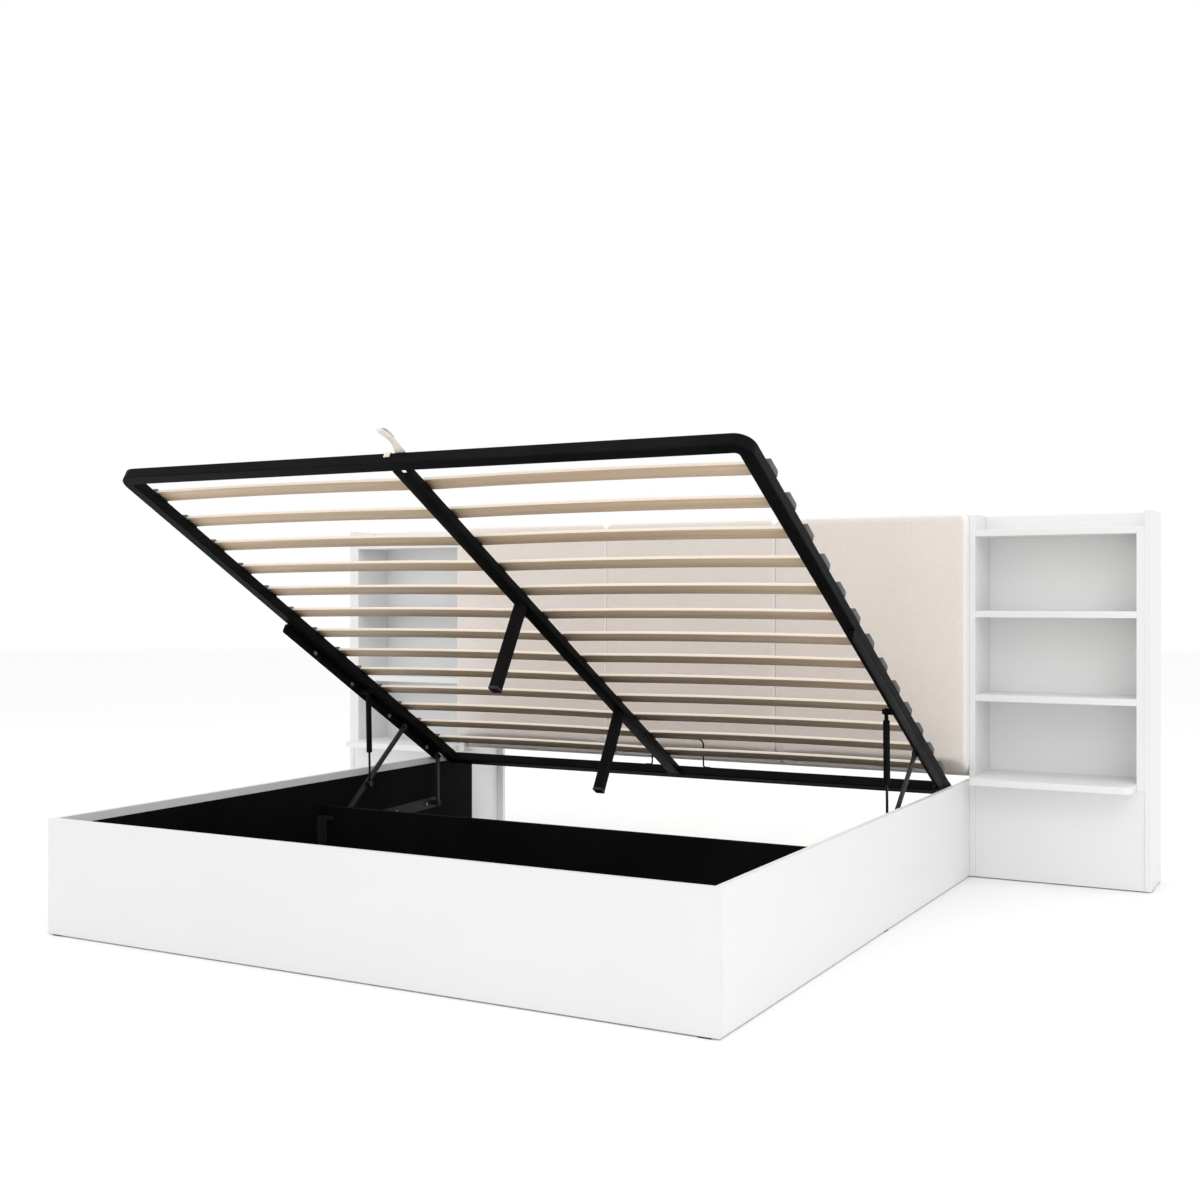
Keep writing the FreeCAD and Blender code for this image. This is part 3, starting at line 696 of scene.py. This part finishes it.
def make_beam():
    """A shallow channel, open at the top, with a slot in its floor behind the front tube."""
    top = tube_bottom + beam_height
    floor = tube_bottom + beam_sheet
    inside = beam_half - beam_sheet
    channel = [(-beam_half, top), (-beam_half, tube_bottom), (beam_half, tube_bottom), (beam_half, top)]
    channel += [(inside, top), (inside, floor), (-inside, floor), (-inside, top)]
    left, right = beam_slot
    slot_end = tube_width + beam_slot_length
    shape = bmesh.new()
    add_along(shape, channel, (slot_end, head_start))
    angle = [(-beam_half, top), (-beam_half, tube_bottom), (left, tube_bottom), (left, floor)]
    add_along(shape, angle + [(-inside, floor), (-inside, top)], (tube_width, slot_end))
    add_along(shape, rectangle((right, beam_half), (tube_bottom, top)), (tube_width, slot_end))
    make_platform_piece("beam_channel", shape, "centre_beam", "black_steel", beam_edge)


def make_risers():
    """A plastic riser in the channel under each pair of slats, with a web between their ends."""
    shape = bmesh.new()
    for number in range(slat_count):
        start = slat_first + number * slat_pitch
        along = (start + riser_inset, start + slat_width - riser_inset)
        outline = [(-riser_half, tube_bottom + beam_sheet), (riser_half, tube_bottom + beam_sheet)]
        outline += [(riser_half, slat_bottom), (web_half, slat_bottom), (web_half, slat_top)]
        outline += [(-web_half, slat_top), (-web_half, slat_bottom), (-riser_half, slat_bottom)]
        add_along(shape, outline, along)
    make_platform_piece("slat_risers", shape, "slat_holders", "black_plastic", riser_edge)


def make_slats(side, name):
    """Thirteen bowed slats of one column, each swept from its inner end to its outer end."""
    shape = bmesh.new()
    for number in range(slat_count):
        start = slat_first + number * slat_pitch
        rows = []
        for station in range(slat_stations + 1):
            share = station / slat_stations
            x = side * (slat_inner + (slat_outer - slat_inner) * share)
            rise = slat_bow * (1 - (2 * share - 1) ** 2)
            outline = rectangle((start, start + slat_width), (slat_bottom + rise, slat_top + rise))
            rows.append([on_platform(x, along, above) for along, above in outline])
        add_skin(shape, rows)
    make_platform_piece("bent_slats_" + name, shape, "slats_" + name, "slat_wood", slat_edge)


def make_caps():
    """A moulded cap on the side tube round the outer end of each slat."""
    shape = bmesh.new()
    for number in range(slat_count):
        start = slat_first + number * slat_pitch
        low, high = start - cap_wall, start + slat_width + cap_wall
        crest = [(high, cap_top - cap_slope), (high - cap_slope, cap_top)]
        crest += [(low + cap_slope, cap_top), (low, cap_top - cap_slope)]
        pocket_top = slat_top + cap_clearance_above
        near, far = start - cap_clearance, start + slat_width + cap_clearance
        hood = [(low, 0), (near, 0), (near, pocket_top), (far, pocket_top), (far, 0), (high, 0)] + crest
        pocket_floor = rectangle((near, far), (0, slat_bottom - cap_clearance))
        for side, _ in sides:
            add_across(shape, hood, (side * cap_inner, side * slat_outer))
            add_across(shape, pocket_floor, (side * cap_inner, side * slat_outer))
            add_across(shape, [(low, 0), (high, 0)] + crest, (side * slat_outer, side * platform_half_width))
    make_platform_piece("slat_end_caps", shape, "slat_caps", "grey_plastic", cap_edge)


def make_leg_feet():
    """A square plastic foot, flush with the leg, with a rounded lower edge."""
    shape = bmesh.new()
    for place in leg_places:
        outline = rectangle((place - foot_half, place + foot_half), (leg_bottom, leg_bottom + foot_height))
        add_across(shape, outline, (-foot_half, foot_half))
    make_platform_piece("leg_ends", shape, "support_leg_feet", "black_plastic", foot_edge)


def make_bar(side, name):
    """An angle bar under the side tube, with rounded front corners and the pins of the linkage."""
    seat = platform_half_width - bar_sheet
    shoulder = (bar_front + bar_shoulder, tube_bottom - bar_shoulder)
    upright = [(bar_rear, bar_bottom), (bar_rear, tube_bottom)] + arc(shoulder, bar_shoulder, 90, 180)
    upright += arc((bar_front + bar_nose, bar_bottom + bar_nose), bar_nose, 180, 270)
    flange = [(bar_rear, tube_bottom)] + arc(shoulder, bar_shoulder, 90, 180)
    flange += arc(shoulder, bar_shoulder - bar_sheet, 180, 90) + [(bar_rear, tube_bottom - bar_sheet)]
    shape = bmesh.new()
    add_across(shape, upright, (side * seat, side * platform_half_width))
    add_across(shape, flange, (side * bar_inner, side * seat))
    rods = (
        (post_seat, pin_radius, post_pin_end, seat),
        (post_seat, pin_head, post_head_end, post_pin_end),
        (link_seat, pin_boss, bar_inner, seat),
        (strut_seat, pin_boss, strut_boss_end, seat),
        (strut_seat, pin_radius, strut_pin_end, strut_boss_end),
        (strut_seat, pin_head, strut_head_end, strut_pin_end),
    )
    for place, radius, near, far in rods:
        add_across(shape, circle(place, radius), (side * near, side * far))
    make_platform_piece("angle_bar_" + name, shape, "upper_bar_" + name, "black_steel", bar_edge)


def make_bar_bolts():
    """Hexagonal bolt heads on washers, on the inner faces of both angle bars."""
    shape = bmesh.new()
    seat = platform_half_width - bar_sheet
    for side, _ in sides:
        for along in bolt_places:
            place = (along, bolt_level)
            washer = (side * (seat - washer_height), side * seat)
            head = (side * (seat - washer_height - bolt_height), side * (seat - washer_height))
            add_across(shape, circle(place, washer_radius), washer)
            add_across(shape, circle(place, bolt_radius, corners=6), head)
    make_platform_piece("bar_bolt_heads", shape, "upper_bar_bolts", "zinc_steel", bolt_edge)


# Pull loop

def smooth_path(points):
    """A smooth line through the middles of the runs between its points."""
    curve = bpy.data.curves.new("path", "CURVE")
    curve.dimensions = "3D"
    spline = curve.splines.new("NURBS")
    spline.points.add(len(points) - 1)
    for target, point in zip(spline.points, points):
        target.co = (*point, 1)
    spline.order_u = 3
    spline.use_endpoint_u = True
    spline.resolution_u = strap_steps
    holder = bpy.data.objects.new("path", curve)
    bpy.context.scene.collection.objects.link(holder)
    graph = bpy.context.evaluated_depsgraph_get()
    mesh = bpy.data.meshes.new_from_object(holder.evaluated_get(graph))
    line = [vertex.co.copy() for vertex in mesh.vertices]
    bpy.data.objects.remove(holder)
    return line


def make_band(name, places):
    """A flat band through places on the platform, with its width across the platform."""
    line = smooth_path([on_platform(*place) for place in places])
    across = Vector((1, 0, 0))
    rows = []
    for number, point in enumerate(line):
        ahead = line[min(number + 1, len(line) - 1)] - line[max(number - 1, 0)]
        ahead.normalize()
        side = (across - ahead * across.dot(ahead)).normalized() * strap_width / 2
        over = ahead.cross(side).normalized() * strap_thickness / 2
        rows.append([point + side * out + over * up for out, up in strap_section])
    shape = bmesh.new()
    add_skin(shape, rows)
    bmesh.ops.recalc_face_normals(shape, faces=shape.faces)
    band = make_piece(name, shape)
    break_edges(band, strap_thickness / 4, least_angle=50)
    return band


def make_pull_loop(finish):
    """The loop stands up from the front tube and curls back over itself. One end goes round the tube."""
    loop = make_band("pull_loop", loop_places)
    tab = make_band("pull_tab", tab_places)
    for band in (loop, tab):
        finish.cover(band)
        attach(band, "platform")
    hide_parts("pull_strap")


make_camera()
make_stage()
finishes = make_finishes()
dress_nodes(finishes)
for panel_number in (1, 2, 3):
    make_pad(panel_number, finishes["upholstery"])
make_beam()
make_risers()
for platform_side, platform_side_name in sides:
    make_slats(platform_side, platform_side_name)
make_caps()
make_leg_feet()
for platform_side, platform_side_name in sides:
    make_bar(platform_side, platform_side_name)
make_bar_bolts()
make_pull_loop(finishes["webbing"])
